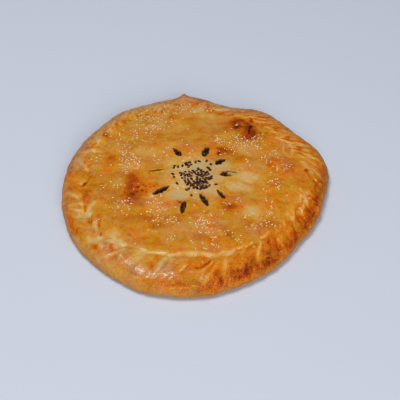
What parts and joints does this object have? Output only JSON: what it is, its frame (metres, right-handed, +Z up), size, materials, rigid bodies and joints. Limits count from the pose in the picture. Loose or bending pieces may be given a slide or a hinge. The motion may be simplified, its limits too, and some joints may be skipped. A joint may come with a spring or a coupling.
{
  "type": "meat chudu",
  "caption": "Round flat closed meat pie with a twisted rope edge, a gently domed golden lid with steam snips, and a flat foot to stand on.",
  "frame": {"origin": "middle of the pie's box on the surface it stands on", "axes": "+Z up through the lid; +X to the right and -Y towards the viewer"},
  "size_m": [0.3018, 0.3036, 0.0319],
  "materials": {
    "crust": "golden-brown baked dough with an egg-wash gloss, browner on blisters and fold backs, paler in the valleys of the rope edge and round the middle"
  },
  "bodies": {
    "root": {"chudu": "crust"}
  },
  "joints": []
}
